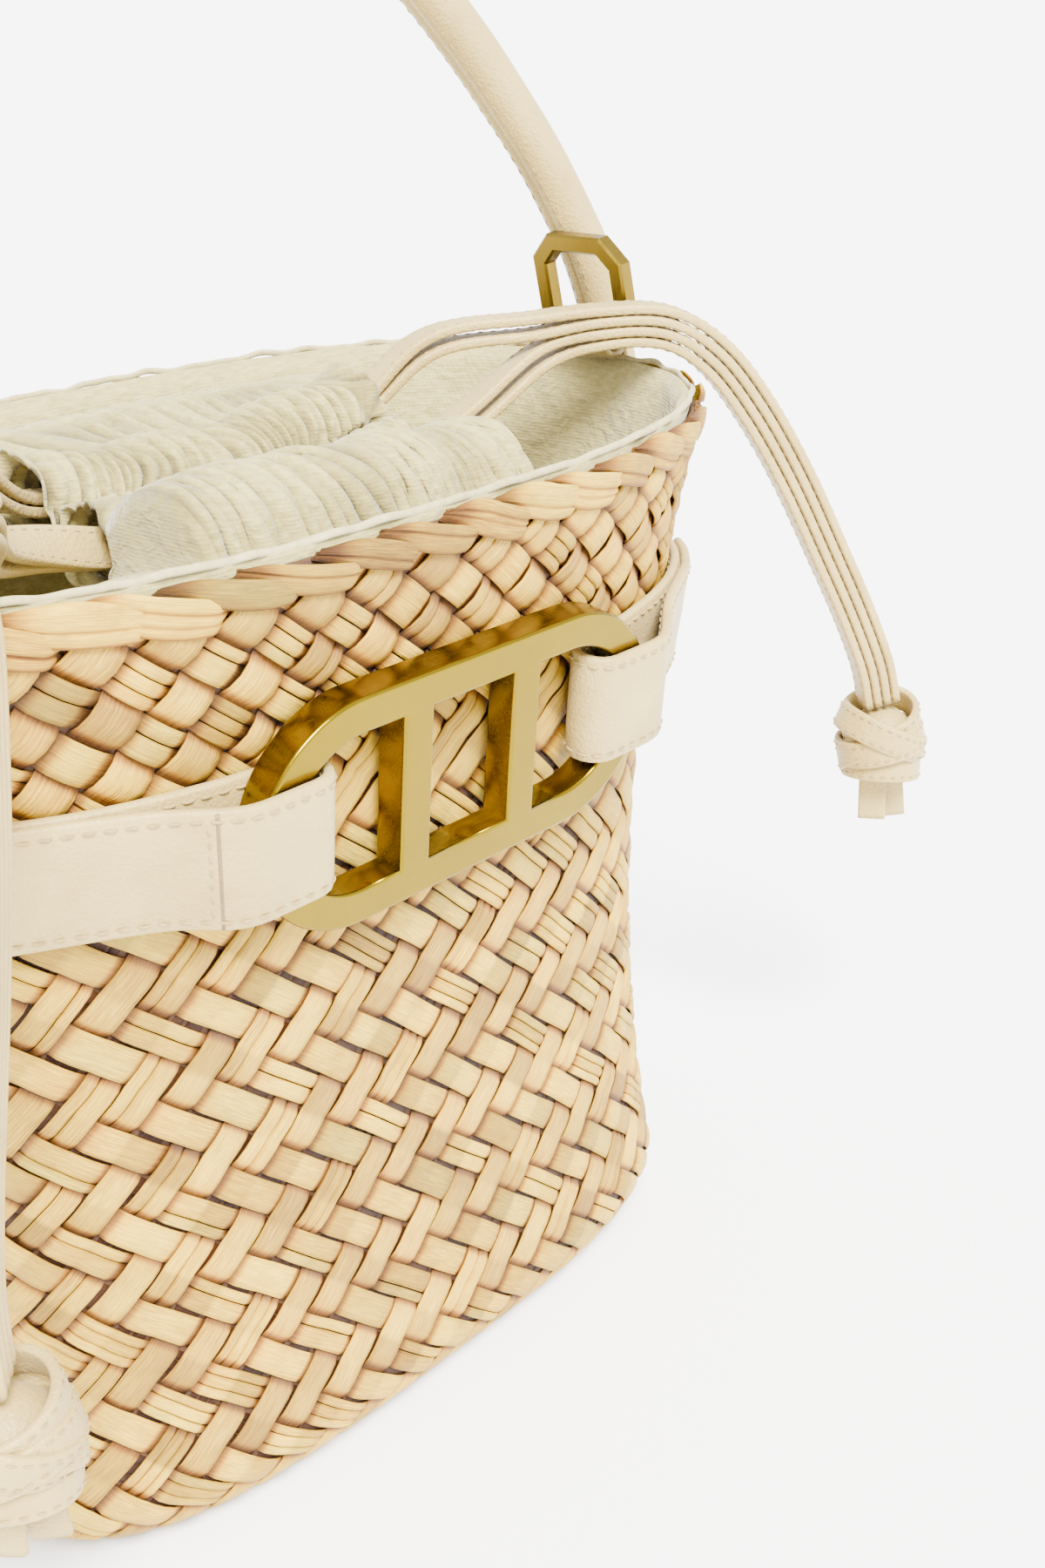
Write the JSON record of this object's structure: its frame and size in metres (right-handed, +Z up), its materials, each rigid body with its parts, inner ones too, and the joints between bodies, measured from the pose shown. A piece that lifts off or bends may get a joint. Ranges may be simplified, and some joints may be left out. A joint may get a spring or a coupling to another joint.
{
  "type": "woven bucket bag",
  "caption": "Woven straw bucket bag with drawstring mouth, leather belt with a slotted stadium buckle, knotted straps and a rolled top handle.",
  "frame": {"origin": "centre of the base on the ground, under the middle of the bag without its hanging drawstrings and knots", "axes": "+X to the bag's right end along its width, +Y from the buckle side to the plain back, +Z up through the handle"},
  "size_m": [0.3037, 0.1515, 0.3457],
  "materials": {
    "straw": "satin",
    "linen": "matte",
    "leather": "satin",
    "brass": "brushed",
    "antique_brass": "satin"
  },
  "bodies": {
    "bag": {"basket_body": "straw", "lining": "linen", "rim_piping": "linen", "casing_front": "linen", "casing_rear": "linen", "flap_front": "linen", "flap_rear": "linen", "drawstring_1": "leather", "drawstring_2": "leather", "drawstring_3": "leather", "drawstring_4": "leather", "knot_right": "leather", "knot_left": "leather", "belt_strap": "leather", "buckle_frame": "brass", "handle_tab_right": "leather", "handle_tab_left": "leather", "handle_end_right": "leather", "handle_end_left": "leather", "ring_loop_right": "leather", "ring_loop_left": "leather"},
    "carry_handle": {"handle": "leather"},
    "clip_ring_right": {"ring_right": "antique_brass"},
    "clip_ring_left": {"ring_left": "antique_brass"}
  },
  "joints": [
    {"name": "handle_swing", "type": "hinge", "parent": "bag", "child": "carry_handle", "pos_m": [0, 0, 0.205], "axis": [1, 0, 0], "range_deg": [-85, 15]},
    {"name": "ring_right_pivot", "type": "hinge", "parent": "bag", "child": "clip_ring_right", "pos_m": [0.113, -0.006, 0.2174], "axis": [0, 1, 0], "range_deg": [-20, 0]},
    {"name": "ring_left_pivot", "type": "hinge", "parent": "bag", "child": "clip_ring_left", "pos_m": [-0.113, -0.006, 0.2174], "axis": [0, 1, 0], "range_deg": [0, 90]}
  ]
}
